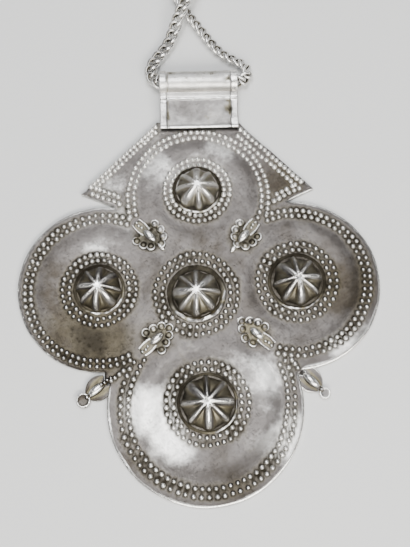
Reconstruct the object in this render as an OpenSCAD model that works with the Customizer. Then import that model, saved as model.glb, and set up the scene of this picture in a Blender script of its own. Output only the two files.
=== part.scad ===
// Silver hamsa pendant lying on its back, with a bail and a loop of curb chain.
// Units are millimetres. X is across, Y runs up to the bail, Z is up from the surface.
// The origin is under the middle of the centre boss, on the back of the plate.

/* [Plate] */
// Thickness of the silver sheet
sheet_t = 1.2; // [0.8:0.1:2]
// Radius of the left lobe
lobe_left_r = 22.1; // [20:0.1:25]
// Radius of the right lobe
lobe_right_r = 22.5; // [20:0.1:25]
// Radius of the bottom lobe
lobe_bottom_r = 24.8; // [22:0.1:28]

/* [Pearls] */
// Diameter of a raised pearl at its foot
pearl_d = 1.15; // [0.9:0.05:1.4]
// Height of a raised pearl over the sheet
pearl_h = 0.55; // [0.3:0.05:0.8]

/* [Bosses] */
// Height of a fluted boss over the sheet
boss_h = 5.2; // [3:0.1:6]
// Flutes round a boss
boss_flutes = 8; // [6:1:10]
// Depth of a valley as a share of the ridge over it
flute_depth = 0.46; // [0.1:0.02:0.6]

/* [Ornaments] */
// Thickness of the wire bent into petals
petal_wire = 0.45; // [0.3:0.05:0.8]
// Diameter of a petal along the middle of its wire
petal_d = 1.75; // [1:0.05:2]
// Length of an almond bead in a palmette
almond_l = 4.4; // [3:0.1:6]
// Width of an almond bead in a palmette
almond_w = 2.0; // [1.4:0.1:3]

/* [Bail] */
// Width of the bail across the pendant
bail_w = 21.2; // [16:0.1:26]
// Outer diameter of the bail's tube at its rims
bail_d = 6.6; // [5:0.1:8]
// Bore of the bail's tube
bail_bore = 5.4; // [4:0.1:6]
// Width of the raised rim at each end
bail_rim_w = 1.9; // [0.6:0.1:2.6]

/* [Chain] */
// Links in the whole loop, an even number
link_count = 218; // [200:2:240]
// Thickness of the link wire
wire_d = 0.9; // [0.5:0.05:1]
// Width of a link over its wire
link_w = 3.8; // [2.8:0.1:4.2]
// Play between two links that hang in each other
link_play = 0.34; // [0.1:0.02:0.5]

/* [Hidden] */

// Solder gap under and beside each piece that is fixed to the plate
gap = 0.05;
top_z = sheet_t;
seat_z = sheet_t + gap;
petal_r = petal_d / 2;

// Lobes. Columns: centre x, centre y, radius
LOBES = [
    [-24.3, 2.1, lobe_left_r],
    [25.4, 2.1, lobe_right_r],
    [1.7, -28.9, lobe_bottom_r],
];

// Top of the plate, from the left tip round to the middle. Columns: x, y
TOP_OUTLINE = [
    [-30.3, 27.9],
    [-9.8, 48.4],
    [12.8, 47.6],
    [32, 28.2],
    [24.3, 24.6],
    [10, -8],
    [-10, -8],
    [-21.7, 24.4],
];

// Tongues between the lobes that carry the finials. Columns: x, y, direction, length, width
TONGUES = [
    [-20, -19.6, 219, 3.7, 3.6],
    [23, -17.8, 315, 4.2, 3.4],
];

// Bosses. Columns: x, y, dome diameter, diameter of the cup round it or 0
BOSSES = [
    [0, 0, 12.8, 15],
    [0.8, 28.5, 11.8, 0],
    [-25.1, 1.7, 12, 0],
    [26.2, 2.7, 13.2, 0],
    [2.2, -28.2, 14, 0],
];

// Dome section from the rim to the hub. Columns: share of radius, ridge height, valley share
DOME_SECTION = [
    [1, 0.03, 0],
    [0.99, 0.14, 0.4],
    [0.96, 0.27, 0.9],
    [0.91, 0.4, 1],
    [0.84, 0.54, 1],
    [0.75, 0.69, 1],
    [0.62, 0.83, 1],
    [0.48, 0.92, 0.95],
    [0.34, 0.97, 0.8],
    [0.22, 0.99, 0.5],
    [0.13, 1, 0.1],
    [0.06, 1, 0],
];

// Pearl rows that bend. Columns: centre x, centre y, first radius, last radius, first angle,
// last angle, count
ARC_ROWS = [
    [0, 0, 8.8, 8.8, 0, 348.8, 32],
    [0, 0, 10.7, 10.7, 240.5, 582, 38],
    [0.8, 28.5, 7.1, 7.1, 0, 348, 30],
    [0.8, 28.5, 8.75, 8.75, 0, 350.3, 37],
    [-25.1, 1.7, 7.8, 7.8, 0, 348.4, 31],
    [-25.1, 1.7, 9.5, 9.5, 0, 350.5, 38],
    [26.2, 2.7, 8.5, 8.5, 0, 348, 30],
    [26.2, 2.7, 10.25, 10.25, 0, 350.3, 37],
    [2.2, -28.2, 8.6, 8.6, 0, 348.4, 31],
    [2.2, -28.2, 10.4, 10.4, 0, 350.3, 37],
    [-24.2, 1.4, 18.9, 18.3, 70.5, 291, 45],
    [-24.2, 1.4, 20.6, 19.7, 70.5, 291, 45],
    [25.8, 2.8, 17.9, 17.9, -106, 112, 41],
    [25.8, 2.8, 19.5, 19.4, -106, 111, 45],
    [2.1, -29.3, 19.8, 19.8, 142, 352, 42],
    [2.1, -29.3, 19.9, 21.3, 356, 389, 8],
    [2.1, -29.3, 21.8, 21.8, 147, 352, 41],
    [2.1, -29.3, 21.8, 23, 356.5, 389.5, 8],
    [1.1, 26.5, 17.2, 16.8, 196, -21.5, 41],
    [1.1, 26.5, 18.9, 18.6, 196, -16, 45],
];

// Pearl rows that run straight. Columns: first x, first y, last x, last y, count
STRAIGHT_ROWS = [
    [-10.2, 47, -27.6, 30.1, 19],
    [-10.2, 45.4, -26.2, 29.7, 17],
    [12.9, 45.7, 28.6, 30.2, 16],
    [12.1, 43.9, 27, 29.3, 15],
    [-27.2, 28.1, -19.9, 25.2, 6],
    [-25.3, 29.3, -20.2, 27.2, 5],
    [28, 28.4, 21.2, 25, 6],
    [26.2, 29, 21.9, 26.8, 4],
    [-18.9, -19.6, -22, -22, 4],
    [23.9, -17.8, 25.3, -19.8, 3],
];

// Palmettes. Columns: almond centre x, almond centre y, direction from stem to tip, reach of the
// pointed tip or 0
PALMETTES = [
    [-12, 15.9, -46, 5.1],
    [12.8, 15.2, -130, 5.1],
    [-10.3, -11.6, 42, 0],
    [15.1, -10.8, 139, 0],
];
leaf_t = 0.35;
stem_reach = 5.2;
stem_wire_r = 0.3;

// Petals of the palmettes. Columns: palmette, x, y
PETALS = [
    [0, -10.6, 19.1],
    [0, -9.1, 17.5],
    [0, -8.4, 15.6],
    [0, -8.9, 13.6],
    [0, -11.6, 12.9],
    [0, -13.6, 13.3],
    [0, -15.4, 14.4],
    [1, 11.8, 18.7],
    [1, 10.7, 17],
    [1, 10.4, 15.1],
    [1, 11, 13.1],
    [1, 13.1, 12.4],
    [1, 15, 13.4],
    [1, 16.4, 14.9],
    [2, -13.1, -10],
    [2, -11.2, -9],
    [2, -9.1, -8.4],
    [2, -7.1, -8.9],
    [2, -7.2, -10.8],
    [2, -8, -12.7],
    [2, -9.1, -14.6],
    [3, 11.4, -7.6],
    [3, 13.5, -7.6],
    [3, 15.6, -8.1],
    [3, 17.3, -9.2],
    [3, 11.5, -9.6],
    [3, 12.2, -12],
    [3, 14.1, -13.3],
];

// Finials. Columns: root x, root y, direction, reach to the disc, disc radius
FINIALS = [
    [-22.9, -22, 219, 7.7, 1.9],
    [26, -20.8, 316, 8, 1.55],
];

// Bail: its left end, the middle of its tube in Y and Z, and its tube and raised rims
bail_x = -8.8;
bail_axis = [58.9, bail_d / 2];
rim_lift = 0.2;
tube_d = bail_d - 2 * rim_lift;

// Beads along the bail: the solder at the crease and the rolled lip. Columns: y, z, diameter
BAIL_BEADS = [
    [54.4, 3.25, 0.8],
    [45.9, 2.35, 0.9],
];

// Section of the bail's flap. Columns: y, z
FLAP = [
    [45.6, 1.95],
    [45.6, 2.6],
    [54.3, 3.2],
    [56.2, 4.5],
    [57, 4.5],
    [57, 2.7],
    [47.6, 2.1],
    [47.5, seat_z],
    [46.6, seat_z],
    [46.5, 1.95],
];

// Middle line of the chain, round from inside the bail. Columns: x, y, z
CHAIN_ROUTE = [
    [1.7, 58.9, 2.9],
    [4.6, 58.9, 2.9],
    [7.4, 58.9, 2.9],
    [10.2, 58.8, 2.9],
    [12.9, 58.7, 2.8],
    [15.2, 60.1, 2.5],
    [15.8, 62.7, 2.1],
    [14.5, 65, 1.7],
    [12, 66.2, 1.55],
    [9.6, 67.5, 1.55],
    [7.5, 69.3, 1.55],
    [5.7, 71.6, 1.55],
    [3.9, 74.2, 1.55],
    [2.2, 76.8, 1.55],
    [0.2, 79.6, 1.55],
    [-1.8, 82.6, 1.55],
    [-3.6, 86, 1.55],
    [-6.5, 93, 1.55],
    [-12, 106, 1.55],
    [-20, 124, 1.55],
    [-30, 150, 1.55],
    [-37, 180, 1.55],
    [-40, 212, 1.55],
    [-37, 245, 1.55],
    [-25, 271, 1.55],
    [-5, 283, 1.55],
    [16, 281, 1.55],
    [33, 264, 1.55],
    [41, 236, 1.55],
    [40, 204, 1.55],
    [34, 174, 1.55],
    [25, 146, 1.55],
    [15, 121, 1.55],
    [8, 104, 1.6],
    [4, 95, 2.3],
    [1.2, 89, 4],
    [-0.6, 85, 4.9],
    [-1.8, 82, 4.9],
    [-3.2, 79, 4.5],
    [-4.6, 75.6, 3],
    [-5.6, 73, 1.9],
    [-6.9, 70.6, 1.55],
    [-8.7, 68.4, 1.55],
    [-10.7, 66, 1.6],
    [-11.6, 63.3, 1.9],
    [-11.1, 60.6, 2.5],
    [-8.9, 58.8, 2.9],
    [-6.2, 58.9, 2.9],
    [-3.5, 58.9, 2.9],
    [-1, 58.9, 2.9],
];
route_n = len(CHAIN_ROUTE);
route_steps = 24;
sample_n = route_n * route_steps;

// A point on the smooth closed curve that the route's points steer
function route_point(t) =
    let (
        i = floor(t),
        f = t - i,
        a = CHAIN_ROUTE[(i + route_n - 1) % route_n],
        b = CHAIN_ROUTE[i % route_n],
        c = CHAIN_ROUTE[(i + 1) % route_n],
        d = CHAIN_ROUTE[(i + 2) % route_n]
    )
    (a * pow(1 - f, 3) + b * (3 * pow(f, 3) - 6 * f * f + 4)
        + c * (1 + 3 * f + 3 * f * f - 3 * pow(f, 3)) + d * pow(f, 3)) / 6;

SAMPLES = [for (k = [0 : sample_n]) route_point(k / route_steps)];

// Length of the chain's middle line up to each sample
function step_length(k) = k < sample_n ? norm(SAMPLES[k + 1] - SAMPLES[k]) : 0;
RUN = [for (k = 0, s = 0; k <= sample_n; s = s + step_length(k), k = k + 1) s];
RUN_X = [for (k = [0 : sample_n]) [RUN[k], SAMPLES[k][0]]];
RUN_Y = [for (k = [0 : sample_n]) [RUN[k], SAMPLES[k][1]]];
RUN_Z = [for (k = [0 : sample_n]) [RUN[k], SAMPLES[k][2]]];
chain_length = RUN[sample_n];
link_pitch = chain_length / link_count;
link_l = round((link_pitch + 2 * wire_d + link_play) * 50) / 50;

function chain_at(s) = [lookup(s, RUN_X), lookup(s, RUN_Y), lookup(s, RUN_Z)];

plate();
boss_centre();
boss_top();
boss_left();
boss_right();
boss_bottom();
palmette_top_left();
palmette_top_right();
palmette_bottom_left();
palmette_bottom_right();
finial_left();
finial_right();
bail();
chain_right();
chain_left();

// Outline of the sheet, grown by g all round
module outline(g = 0) {
    for (lobe = LOBES) translate([lobe[0], lobe[1]]) circle(r = lobe[2] + g, $fn = 180);
    for (tongue = TONGUES) {
        translate([tongue[0], tongue[1]]) rotate(tongue[2])
            translate([0, -tongue[4] / 2 - g]) square([tongue[3] + g, tongue[4] + 2 * g]);
    }
    if (g == 0) polygon(TOP_OUTLINE);
}

// A low pearl struck up out of the sheet, its foot sunk in the metal
module pearl() {
    sink = 0.2;
    translate([0, 0, top_z - sink])
        cylinder(d1 = pearl_d + 0.1, d2 = pearl_d * 0.5, h = pearl_h + sink, $fn = 16);
}

module arc_row(row) {
    for (k = [0 : row[6] - 1]) {
        share = k / (row[6] - 1);
        r = row[2] + (row[3] - row[2]) * share;
        a = row[4] + (row[5] - row[4]) * share;
        translate([row[0] + r * cos(a), row[1] + r * sin(a), 0]) pearl();
    }
}

module straight_row(row) {
    for (k = [0 : row[4] - 1]) {
        share = k / (row[4] - 1);
        x = row[0] + (row[2] - row[0]) * share;
        y = row[1] + (row[3] - row[1]) * share;
        translate([x, y, 0]) pearl();
    }
}

module plate() {
    color([0.62, 0.6, 0.58]) {
        linear_extrude(sheet_t) outline();
        for (row = ARC_ROWS) arc_row(row);
        for (row = STRAIGHT_ROWS) straight_row(row);
    }
}

// A point on a fluted dome: its ridges have the section's full height, its valleys lie lower
function dome_point(row, k, sides, r, h, flutes) =
    let (
        a = 360 * k / sides,
        valley = pow(0.5 - 0.5 * cos(flutes * a), 0.6),
        z = h * row[1] * (1 - flute_depth * row[2] * valley)
    )
    [r * row[0] * cos(a), r * row[0] * sin(a), z];

// A fluted dome of radius r as one closed skin
module dome(r) {
    sides = boss_flutes * 8;
    rings = len(DOME_SECTION);
    foot = [for (k = [0 : sides - 1]) [r * cos(360 * k / sides), r * sin(360 * k / sides), 0]];
    skin = [
        for (row = DOME_SECTION)
            for (k = [0 : sides - 1])
                dome_point(row, k, sides, r, boss_h, boss_flutes)
    ];
    points = concat(foot, skin, [[0, 0, boss_h], [0, 0, 0]]);
    hub = len(points) - 2;
    base = len(points) - 1;
    side_faces = [
        for (j = [0 : rings - 1])
            for (k = [0 : sides - 1])
                let (n = (k + 1) % sides)
                [j * sides + k, (j + 1) * sides + k, (j + 1) * sides + n, j * sides + n]
    ];
    hub_faces = [for (k = [0 : sides - 1]) [rings * sides + k, hub, rings * sides + (k + 1) % sides]];
    base_faces = [for (k = [0 : sides - 1]) [k, (k + 1) % sides, base]];
    polyhedron(points, concat(side_faces, hub_faces, base_faces), convexity = 4);
}

// The cup that a dome is soldered into: a low collar that just bites into the dome's foot
module cup(d, dome_d) {
    cup_h = 1;
    difference() {
        cylinder(d = d, h = cup_h, $fn = 96);
        translate([0, 0, -1]) cylinder(d = dome_d - 0.1, h = cup_h + 2, $fn = 96);
    }
}

module boss(index) {
    dome_d = BOSSES[index][2];
    cup_d = BOSSES[index][3];
    color([0.7, 0.68, 0.66]) translate([BOSSES[index][0], BOSSES[index][1], seat_z]) {
        dome(dome_d / 2);
        if (cup_d > 0) cup(cup_d, dome_d);
    }
}

module boss_centre() {
    boss(0);
}

module boss_top() {
    boss(1);
}

module boss_left() {
    boss(2);
}

module boss_right() {
    boss(3);
}

module boss_bottom() {
    boss(4);
}

// A round wire of radius r from point p to point q, with round ends
module wire(p, q, r) {
    d = q - p;
    translate(p) rotate([0, acos(d[2] / norm(d)), atan2(d[1], d[0])])
        cylinder(r = r, h = norm(d), $fn = 16);
    translate(p) sphere(r = r, $fn = 16);
    translate(q) sphere(r = r, $fn = 16);
}

// The upper half of an almond bead, h high, sunk a little into what it lies on
module almond(l, w, h) {
    intersection() {
        scale([l / w, 1, 2 * h / w]) sphere(d = w, $fn = 48);
        translate([-l, -w, -0.2]) cube([2 * l, 2 * w, 2 * h]);
    }
}

// The thin leaf of sheet under a palmette: a disc, a foot for each petal, the stem and the tip
module palmette_leaf(index) {
    disc_r = 2.6;
    stem_w = 3;
    tip_r = 0.55;
    tip = PALMETTES[index][3];
    foot_r = petal_r + petal_wire / 2;
    for (petal = PETALS) {
        if (petal[0] == index) translate([petal[1], petal[2]]) circle(r = foot_r, $fn = 32);
    }
    translate([PALMETTES[index][0], PALMETTES[index][1]]) rotate(PALMETTES[index][2]) {
        circle(r = disc_r, $fn = 48);
        translate([-stem_reach - 0.2, -stem_w / 2]) square([stem_reach + 0.2, stem_w]);
        if (tip > 0) hull() {
            translate([disc_r / 2, 0]) circle(r = 2 * tip_r, $fn = 32);
            translate([tip, 0]) circle(r = tip_r, $fn = 32);
        }
    }
}

// An almond bead in a ring of wire petals, with a stem of two wires and three grains
module palmette(index) {
    x = PALMETTES[index][0];
    y = PALMETTES[index][1];
    turn = PALMETTES[index][2];
    tip = PALMETTES[index][3];
    petal_z = seat_z + leaf_t + petal_wire / 3;
    almond_h = 1.1;
    grain_d = 1.1;
    color([0.66, 0.64, 0.61]) {
        translate([0, 0, seat_z]) linear_extrude(leaf_t) palmette_leaf(index);
        for (petal = PETALS) {
            if (petal[0] == index) translate([petal[1], petal[2], petal_z]) {
                rotate_extrude($fn = 24) translate([petal_r, 0]) circle(d = petal_wire, $fn = 16);
            }
        }
        translate([x, y, seat_z + leaf_t]) rotate(turn) {
            almond(almond_l, almond_w, almond_h);
            for (side = [-1, 1]) {
                wire([-stem_reach, 1.2 * side, 0], [-1.6, 1.3 * side, 0], stem_wire_r);
            }
            for (k = [0 : 2]) translate([-4.8 + grain_d * k, 0, -0.1]) {
                cylinder(d1 = grain_d, d2 = grain_d / 2, h = 0.6, $fn = 16);
            }
            if (tip > 0) translate([tip - 0.4, 0, 0]) almond(1.6, 0.9, 0.35);
        }
    }
}

module palmette_top_left() {
    palmette(0);
}

module palmette_top_right() {
    palmette(1);
}

module palmette_bottom_left() {
    palmette(2);
}

module palmette_bottom_right() {
    palmette(3);
}

// A flat leaf between two arcs, l long and 2 * w wide
module leaf(l, w) {
    r = (l * l / 4 + w * w) / (2 * w);
    intersection() {
        translate([0, r - w]) circle(r = r, $fn = 96);
        translate([0, w - r]) circle(r = r, $fn = 96);
    }
}

// A bud of two leaves round an almond, ended by a grain and a flat disc
module finial(index) {
    reach = FINIALS[index][3];
    disc_r = FINIALS[index][4];
    color([0.6, 0.57, 0.53]) difference() {
        translate([FINIALS[index][0], FINIALS[index][1], 0]) rotate(FINIALS[index][2]) {
            linear_extrude(1.1) {
                for (side = [-1, 1]) translate([3.1, 1.4 * side]) rotate(-8 * side) leaf(6.8, 1.7);
                translate([0.3, -0.9]) square([reach - 1, 1.8]);
            }
            translate([3.2, 0, 1]) almond(5, 1.9, 1.2);
            translate([reach - 1.5, 0, 1.4]) sphere(d = 1.2, $fn = 24);
            translate([reach, 0, 0.1]) cylinder(r = disc_r, h = 1.4, $fn = 48);
        }
        translate([0, 0, -1]) linear_extrude(4) outline(gap);
    }
}

module finial_left() {
    finial(0);
}

module finial_right() {
    finial(1);
}

// Extrudes a section drawn in Y and Z over a stretch of X
module across(x, w) {
    translate([x, 0, 0]) rotate([90, 0, 90]) linear_extrude(w) children();
}

module bail() {
    y = bail_axis[0];
    z = bail_axis[1];
    color([0.7, 0.69, 0.68]) difference() {
        union() {
            across(bail_x, bail_w) {
                polygon(FLAP);
                translate([y, z]) circle(d = tube_d, $fn = 64);
                for (bead = BAIL_BEADS) translate([bead[0], bead[1]]) circle(d = bead[2], $fn = 24);
            }
            for (end = [0, 1]) across(bail_x + end * (bail_w - bail_rim_w), bail_rim_w) {
                translate([y, z]) circle(d = bail_d, $fn = 64);
                translate([0, rim_lift]) intersection() {
                    polygon(FLAP);
                    translate([45, 2]) square([12, 4]);
                }
            }
        }
        across(bail_x - 1, bail_w + 2) translate([y, z]) circle(d = bail_bore, $fn = 64);
    }
}

// One oval link about its own middle, its long way on X
module link() {
    bend = (link_w - wire_d) / 2;
    straight = link_l - link_w;
    for (side = [0, 1]) rotate(180 * side) {
        translate([straight / 2, 0, 0]) rotate(-90)
            rotate_extrude(angle = 180, $fn = 16) translate([bend, 0]) circle(d = wire_d, $fn = 16);
        translate([-straight / 2, bend, 0]) rotate([0, 90, 0])
            cylinder(d = wire_d, h = straight, $fn = 16);
    }
}

// Links first to last, each between two points of the middle line and rolled against the next
module chain(first, last) {
    for (k = [first : last]) {
        p = chain_at(k * link_pitch);
        q = chain_at((k + 1) * link_pitch);
        d = q - p;
        translate((p + q) / 2)
            rotate([0, -asin(d[2] / norm(d)), atan2(d[1], d[0])])
            rotate([k % 2 == 0 ? -45 : 45, 0, 0])
            link();
    }
}

module chain_right() {
    color([0.68, 0.67, 0.65]) chain(0, link_count / 2 - 1);
}

module chain_left() {
    color([0.68, 0.67, 0.65]) chain(link_count / 2, link_count - 1);
}
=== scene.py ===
"""A tarnished silver hamsa pendant on a loop of curb chain, lying on a pale floor.

Lengths in the tables are millimetres in the pendant's own frame: X across, Y up to the bail,
Z out of the struck face, from the back of the plate under the middle of the centre boss.
"""

import math

import bpy
import numpy as np
from bpy.props import FloatProperty, FloatVectorProperty, IntProperty, PointerProperty
from bpy.types import Operator, Panel, PropertyGroup
from mathutils import Matrix, Vector


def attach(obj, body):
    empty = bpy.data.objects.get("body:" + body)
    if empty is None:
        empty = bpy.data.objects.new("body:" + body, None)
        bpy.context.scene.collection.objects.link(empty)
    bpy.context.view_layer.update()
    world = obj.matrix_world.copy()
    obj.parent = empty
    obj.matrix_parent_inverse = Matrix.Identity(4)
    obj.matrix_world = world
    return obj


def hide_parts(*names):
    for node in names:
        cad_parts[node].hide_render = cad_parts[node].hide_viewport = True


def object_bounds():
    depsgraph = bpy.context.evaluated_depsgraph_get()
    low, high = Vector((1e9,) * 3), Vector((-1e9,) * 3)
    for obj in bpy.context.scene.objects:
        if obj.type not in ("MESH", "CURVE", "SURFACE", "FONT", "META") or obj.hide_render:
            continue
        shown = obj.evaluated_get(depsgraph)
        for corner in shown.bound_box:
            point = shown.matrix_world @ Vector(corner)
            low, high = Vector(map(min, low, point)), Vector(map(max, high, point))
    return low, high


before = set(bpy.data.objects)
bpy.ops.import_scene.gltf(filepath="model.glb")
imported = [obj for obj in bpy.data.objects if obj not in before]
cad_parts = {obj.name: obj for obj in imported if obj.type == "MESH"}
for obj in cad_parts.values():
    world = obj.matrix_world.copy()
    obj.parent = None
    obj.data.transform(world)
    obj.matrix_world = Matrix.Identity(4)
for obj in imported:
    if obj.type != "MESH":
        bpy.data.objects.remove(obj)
CAD_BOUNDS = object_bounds()

bl_info = {
    "name": "Hamsa Pendant",
    "version": (1, 0, 0),
    "blender": (4, 5, 0),
    "location": "View3D > Sidebar > Pendant",
    "description": "Builds a struck silver hamsa pendant with its bail and chain",
    "category": "Add Mesh",
}

MM = 0.001
SEED = 7
UP = np.array([0.0, 0.0, 1.0])

# Height of the sheet's flat face, and the height at which soldered pieces stand on it
SHEET_TOP = 1.17
SEAT = 1.25

# Solids that this file dresses, as the frame names them
PALMETTE_NODES = (
    "palmette_top_left",
    "palmette_top_right",
    "palmette_bottom_left",
    "palmette_bottom_right",
)
BOSS_NODES = ("boss_centre", "boss_top", "boss_left", "boss_right", "boss_bottom")
FINIAL_NODES = ("finial_left", "finial_right")

# Lobes. Columns: centre x, centre y, radius
LOBES = np.array([[-24.3, 2.1, 22.1], [25.4, 2.1, 22.5], [1.7, -28.9, 24.8]])

# Straight part of the plate's outline. Columns: x, y
TOP_OUTLINE = np.array(
    [
        [-30.3, 27.9], [-9.8, 48.4], [12.8, 47.6], [32, 28.2],
        [24.3, 24.6], [10, -8], [-10, -8], [-21.7, 24.4],
    ]
)

# Tongues that carry the finials. Columns: x, y, radius
TONGUES = np.array([[-21.3, -20.8, 2.4], [24.3, -19.2, 2.4]])

# A point that sees the whole outline, and so steers the plate's grid
PLATE_HUB = np.array([1.0, 20.0])

# Bosses. Columns: x, y, dome radius, hub radius, hub dent, turn in degrees, rubbed
BOSSES = [
    (0.0, 0.0, 6.35, 0.9, 0.1, 0.0, 0.03),
    (0.8, 28.5, 5.85, 0.8, 0.05, 4.0, 0.05),
    (-25.1, 1.7, 6.0, 0.9, 0.1, -6.0, -0.02),
    (26.2, 2.7, 6.6, 1.0, 0.45, 8.0, 0.0),
    (2.2, -28.2, 7.0, 1.5, 0.3, 2.0, 0.0),
]

# Lips torn up round the bosses. Columns: inner radius, outer radius, rise, middle and spread in degrees
LIPS = [
    (6.1, 7.7, 0.9, 290, 80),
    (5.7, 6.6, 0.5, 275, 55),
    (5.9, 6.7, 0.3, 300, 60),
    (6.7, 7.6, 0.7, 275, 45),
    (6.9, 7.7, 0.55, 320, 50),
]

# Pearl rows that bend. Columns: centre x, y, first radius, last radius, first angle, last angle, count
ARC_ROWS = [
    (0, 0, 8.8, 8.8, 0, 348.8, 32),
    (0, 0, 10.7, 10.7, 240.5, 582, 38),
    (0.8, 28.5, 7.1, 7.1, 0, 348, 30),
    (0.8, 28.5, 8.75, 8.75, 0, 350.3, 37),
    (-25.1, 1.7, 7.8, 7.8, 0, 348.4, 31),
    (-25.1, 1.7, 9.5, 9.5, 0, 350.5, 38),
    (26.2, 2.7, 8.5, 8.5, 0, 348, 30),
    (26.2, 2.7, 10.25, 10.25, 0, 350.3, 37),
    (2.2, -28.2, 8.6, 8.6, 0, 348.4, 31),
    (2.2, -28.2, 10.4, 10.4, 0, 350.3, 37),
    (-24.2, 1.4, 18.9, 18.3, 70.5, 291, 45),
    (-24.2, 1.4, 20.6, 19.7, 70.5, 291, 45),
    (25.8, 2.8, 17.9, 17.9, -106, 112, 41),
    (25.8, 2.8, 19.5, 19.4, -106, 111, 45),
    (2.1, -29.3, 19.8, 19.8, 142, 352, 42),
    (2.1, -29.3, 19.9, 21.3, 356, 389, 8),
    (2.1, -29.3, 21.8, 21.8, 147, 352, 41),
    (2.1, -29.3, 21.8, 23, 356.5, 389.5, 8),
    (1.1, 26.5, 17.2, 16.8, 196, -21.5, 41),
    (1.1, 26.5, 18.9, 18.6, 196, -16, 45),
]

# Pearl rows that run straight. Columns: first x, first y, last x, last y, count
STRAIGHT_ROWS = [
    (-10.2, 47, -27.6, 30.1, 19),
    (-10.2, 45.4, -26.2, 29.7, 17),
    (12.9, 45.7, 28.6, 30.2, 16),
    (12.1, 43.9, 27, 29.3, 15),
    (-27.2, 28.1, -19.9, 25.2, 6),
    (-25.3, 29.3, -20.2, 27.2, 5),
    (28, 28.4, 21.2, 25, 6),
    (26.2, 29, 21.9, 26.8, 4),
    (-18.9, -19.6, -22, -22, 4),
    (23.9, -17.8, 25.3, -19.8, 3),
]

# Domed fields between the pearl rows. Columns: centre x, y, inner radius, outer radius, rise
FIELDS = [
    (-24.8, 1.6, 10.6, 17.6, 0.22),
    (26.0, 2.8, 11.3, 16.6, 0.2),
    (2.1, -28.8, 11.6, 18.6, 0.3),
    (1.0, 27.3, 9.8, 15.8, 0.18),
]

# Palmettes. Columns: almond centre x, almond centre y, direction from stem to tip, tip's reach or 0
PALMETTES = [(-12, 15.9, -46, 5.1), (12.8, 15.2, -130, 5.1), (-10.3, -11.6, 42, 0), (15.1, -10.8, 139, 0)]

# Petals of each palmette. Columns: x, y, how far the cap fills the ring
PETALS = [
    [
        (-10.6, 19.1, 1), (-9.1, 17.5, 1), (-8.4, 15.6, 0.9), (-8.9, 13.6, 0.3),
        (-11.6, 12.9, 0), (-13.6, 13.3, 0), (-15.4, 14.4, 0.1),
    ],
    [
        (11.8, 18.7, 1), (10.7, 17, 0.8), (10.4, 15.1, 0.4), (11, 13.1, 0.5),
        (13.1, 12.4, 0.5), (15, 13.4, 0), (16.4, 14.9, 0),
    ],
    [
        (-13.1, -10, 0.1), (-11.2, -9, 0.7), (-9.1, -8.4, 0.4), (-7.1, -8.9, 0.2),
        (-7.2, -10.8, 0.1), (-8, -12.7, 0.1), (-9.1, -14.6, 0),
    ],
    [
        (11.4, -7.6, 0.4), (13.5, -7.6, 0.9), (15.6, -8.1, 1), (17.3, -9.2, 0.3),
        (11.5, -9.6, 0.3), (12.2, -12, 0.2), (14.1, -13.3, 0),
    ],
]

# Almonds of the palmettes, of their tips and of the finials. Columns: length, width, rise
PALMETTE_ALMOND = (4.5, 2.1, 1.15)
TIP_ALMOND = (2.7, 1.15, 0.5)
FINIAL_ALMOND = (5.4, 2.3, 1.3)

# A finial's leaf: length, and reach to either side
LEAF_LENGTH, LEAF_REACH = 6.5, 1.8

# Finials. Columns: root x, root y, direction, reach to the disc, disc radius, film
FINIALS = [(-22.9, -22, 219, 7.7, 1.9, 0.8), (26, -20.8, 316, 8, 1.55, 0.45)]

# Bail: left end and width, tube axis y and z, radius of the sheet's middle line, run from lip to crease
BAIL_X, BAIL_W = -8.8, 21.2
BAIL_AXIS = np.array([58.9, 3.3])
BAIL_RADIUS = 2.84
BAIL_CREASE = 8.55

# Dents in the bail. Columns: across from the left end, along the sheet from the lip, size, depth
BAIL_DENTS = [
    (3.2, 16.5, 1.6, 0.14),
    (9.5, 15.6, 3.2, 0.1),
    (15.2, 16.2, 2.2, 0.12),
    (18.3, 14.2, 0.9, 0.22),
    (18.6, 5.5, 1.2, 0.2),
    (18.2, 8.4, 0.8, 0.16),
    (6.0, 6.0, 3.0, 0.06),
    (13.0, 4.0, 2.4, 0.05),
    (2.2, 3.2, 0.8, 0.12),
]

# Middle line of the chain, round from inside the bail. Columns: x, y, z
CHAIN_ROUTE = np.array(
    [
        [1.7, 58.9, 2.9], [4.6, 58.9, 2.9], [7.4, 58.9, 2.9], [10.2, 58.8, 2.9],
        [12.9, 58.7, 2.8], [15.2, 60.1, 2.5], [15.8, 62.7, 2.1], [14.5, 65, 1.7],
        [12, 66.2, 1.55], [9.6, 67.5, 1.55], [7.5, 69.3, 1.55], [5.7, 71.6, 1.55],
        [3.9, 74.2, 1.55], [2.2, 76.8, 1.55], [0.2, 79.6, 1.55], [-1.8, 82.6, 1.55],
        [-3.6, 86, 1.55], [-6.5, 93, 1.55], [-12, 106, 1.55], [-20, 124, 1.55],
        [-30, 150, 1.55], [-37, 180, 1.55], [-40, 212, 1.55], [-37, 245, 1.55],
        [-25, 271, 1.55], [-5, 283, 1.55], [16, 281, 1.55], [33, 264, 1.55],
        [41, 236, 1.55], [40, 204, 1.55], [34, 174, 1.55], [25, 146, 1.55],
        [15, 121, 1.55], [8, 104, 1.6], [4, 95, 2.3], [1.2, 89, 4],
        [-0.6, 85, 4.9], [-1.8, 82, 4.9], [-3.2, 79, 4.5], [-4.6, 75.6, 3],
        [-5.6, 73, 1.9], [-6.9, 70.6, 1.55], [-8.7, 68.4, 1.55], [-10.7, 66, 1.6],
        [-11.6, 63.3, 1.9], [-11.1, 60.6, 2.5], [-8.9, 58.8, 2.9], [-6.2, 58.9, 2.9],
        [-3.5, 58.9, 2.9], [-1, 58.9, 2.9],
    ]
)


def length_property(name, description, millimetres):
    """A length that a user would change, with its default in millimetres."""
    return FloatProperty(name=name, description=description, default=millimetres * MM, unit="LENGTH")


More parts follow.
